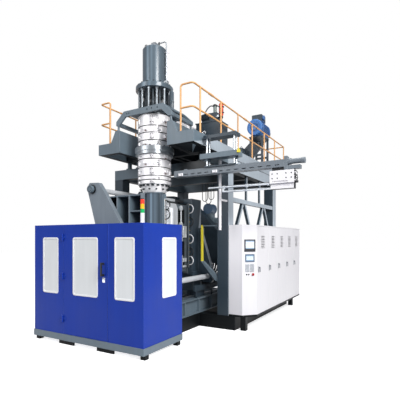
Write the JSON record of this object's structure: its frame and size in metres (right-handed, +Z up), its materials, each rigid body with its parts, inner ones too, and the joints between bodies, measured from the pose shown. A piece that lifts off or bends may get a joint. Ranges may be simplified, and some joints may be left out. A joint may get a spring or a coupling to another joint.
{
  "type": "blow moulding machine",
  "caption": "Accumulator-head blow moulding machine for drums: hanging die head, railed extruder deck, diagonal tie-bar clamp, guard and control cabinets.",
  "frame": {"origin": "on the floor under the axis of the die head, on the underside of the base", "axes": "+Z up, -Y towards the front guard, +X towards the control cabinets"},
  "size_m": [5.15, 8.104, 6.55],
  "materials": {
    "grey_paint": "satin slate grey machine paint",
    "dark_paint": "satin dark grey machine paint",
    "black_paint": "matt black chassis paint",
    "white_paint": "smooth white powder coat",
    "blue_paint": "smooth blue powder coat",
    "rail_paint": "orange-yellow enamel on tube",
    "yellow_paint": "yellow enamel",
    "motor_paint": "blue enamel on castings",
    "bottle_paint": "red-orange enamel",
    "ground_steel": "ground steel",
    "heater_steel": "bright sheet steel heater jackets",
    "black_bolts": "black oxide screws",
    "chrome": "hard chrome",
    "mould_aluminium": "milled aluminium",
    "window_plastic": "pale polycarbonate panes in white frames",
    "signal_plastic": "tinted signal lenses",
    "screen_plastic": "dark moulded plastic",
    "stop_plastic": "red moulded plastic"
  },
  "bodies": {
    "frame": {"base_skid": "black_paint", "clamp_bed": "grey_paint", "bed_rails": "ground_steel", "right_tower": "dark_paint", "left_tower": "dark_paint", "lower_frame": "grey_paint", "deck_frame": "grey_paint", "right_guard_rail": "rail_paint", "left_guard_rail": "rail_paint", "yoke_frame": "grey_paint", "head_barrel": "ground_steel", "heater_bands": "heater_steel", "die_ring": "heater_steel", "ram_cylinder": "grey_paint", "cage_rods": "ground_steel", "head_bolts": "black_bolts", "oil_pipe": "ground_steel", "extruder_barrel": "ground_steel", "barrel_cover": "white_paint", "gearbox": "dark_paint", "drive_motor": "motor_paint", "belt_guard": "dark_paint", "oil_tank": "dark_paint", "pump_unit": "grey_paint", "accumulator_bottle": "bottle_paint", "robot_bracket": "grey_paint", "light_curtain": "yellow_paint", "blow_unit": "dark_paint", "guard_base": "grey_paint", "guard_left_panel": "blue_paint", "guard_right_panel": "blue_paint", "guard_windows": "window_plastic", "signal_tower": "signal_plastic", "cabinet_row": "white_paint", "console_body": "white_paint", "console_panels": "screen_plastic"},
    "front_clamp": {"front_platen": "grey_paint", "tie_bars": "chrome", "pull_plate": "dark_paint", "clamp_cylinder": "grey_paint", "front_mould": "mould_aluminium"},
    "rear_clamp": {"rear_platen": "dark_paint", "rear_mould": "mould_aluminium"},
    "guard_door": {"guard_door": "blue_paint", "door_window": "window_plastic"},
    "stop_button": {"stop_button": "stop_plastic"},
    "left_selector": {"left_selector": "screen_plastic"},
    "right_selector": {"right_selector": "screen_plastic"},
    "ram": {"ram_rod": "ground_steel"},
    "die_core": {"die_core": "chrome"},
    "screw": {"extruder_screw": "ground_steel"},
    "robot": {"robot_beam": "grey_paint", "lift_frame": "chrome"},
    "take_out_arm": {"take_out_arm": "chrome"},
    "blow_pin": {"blow_pin": "chrome"},
    "cabinet_door_1": {"cabinet_door_1": "white_paint"},
    "cabinet_door_2": {"cabinet_door_2": "white_paint"},
    "cabinet_door_3": {"cabinet_door_3": "white_paint"},
    "cabinet_door_4": {"cabinet_door_4": "white_paint"},
    "cabinet_door_5": {"cabinet_door_5": "white_paint"}
  },
  "joints": [
    {"name": "front_clamp_slide", "type": "slide", "parent": "frame", "child": "front_clamp", "axis": [0, -1, 0], "range_m": [0, 0.45]},
    {"name": "rear_clamp_slide", "type": "slide", "parent": "frame", "child": "rear_clamp", "axis": [0, 1, 0], "range_m": [0, 0.45]},
    {"name": "guard_door_hinge", "type": "hinge", "parent": "frame", "child": "guard_door", "pos_m": [-0.545, -2.148, 1.2], "axis": [0, 0, -1], "range_deg": [0, 100]},
    {"name": "stop_button_press", "type": "slide", "parent": "frame", "child": "stop_button", "axis": [-0.7474, 0.6644, 0], "range_m": [0, 0.006], "stiffness_N_per_m": 800, "springref_m": -0.004},
    {"name": "left_selector_turn", "type": "hinge", "parent": "frame", "child": "left_selector", "pos_m": [2.07017, 0.55894, 1.225], "axis": [-0.7474, 0.6644, 0], "range_deg": [-45, 45]},
    {"name": "right_selector_turn", "type": "hinge", "parent": "frame", "child": "right_selector", "pos_m": [2.10339, 0.59631, 1.225], "axis": [-0.7474, 0.6644, 0], "range_deg": [-45, 45]},
    {"name": "ram_slide", "type": "slide", "parent": "frame", "child": "ram", "axis": [0, 0, 1], "range_m": [0, 0.2]},
    {"name": "die_core_slide", "type": "slide", "parent": "frame", "child": "die_core", "axis": [0, 0, -1], "range_m": [0, 0.03]},
    {"name": "screw_spin", "type": "hinge", "parent": "frame", "child": "screw", "pos_m": [0, 2, 4.62], "axis": [0, 1, 0], "continuous": true},
    {"name": "robot_lift", "type": "slide", "parent": "frame", "child": "robot", "axis": [0, 0, -1], "range_m": [0, 0.25]},
    {"name": "arm_slide", "type": "slide", "parent": "robot", "child": "take_out_arm", "axis": [-1, 0, 0], "range_m": [0, 0.9]},
    {"name": "blow_pin_lift", "type": "slide", "parent": "frame", "child": "blow_pin", "axis": [0, 0, 1], "range_m": [0, 0.18]},
    {"name": "cabinet_door_1_hinge", "type": "hinge", "parent": "frame", "child": "cabinet_door_1", "pos_m": [2.225, 1.4635, 1.3], "axis": [0, 0, 1], "range_deg": [0, 100]},
    {"name": "cabinet_door_2_hinge", "type": "hinge", "parent": "frame", "child": "cabinet_door_2", "pos_m": [2.225, 2.1635, 1.3], "axis": [0, 0, 1], "range_deg": [0, 100]},
    {"name": "cabinet_door_3_hinge", "type": "hinge", "parent": "frame", "child": "cabinet_door_3", "pos_m": [2.225, 2.8635, 1.3], "axis": [0, 0, 1], "range_deg": [0, 100]},
    {"name": "cabinet_door_4_hinge", "type": "hinge", "parent": "frame", "child": "cabinet_door_4", "pos_m": [2.225, 3.5635, 1.3], "axis": [0, 0, 1], "range_deg": [0, 100]},
    {"name": "cabinet_door_5_hinge", "type": "hinge", "parent": "frame", "child": "cabinet_door_5", "pos_m": [2.225, 4.2635, 1.3], "axis": [0, 0, 1], "range_deg": [0, 100]}
  ],
  "couplings": [
    {"joint": "rear_clamp_slide", "follows": "front_clamp_slide", "ratio": 1}
  ]
}
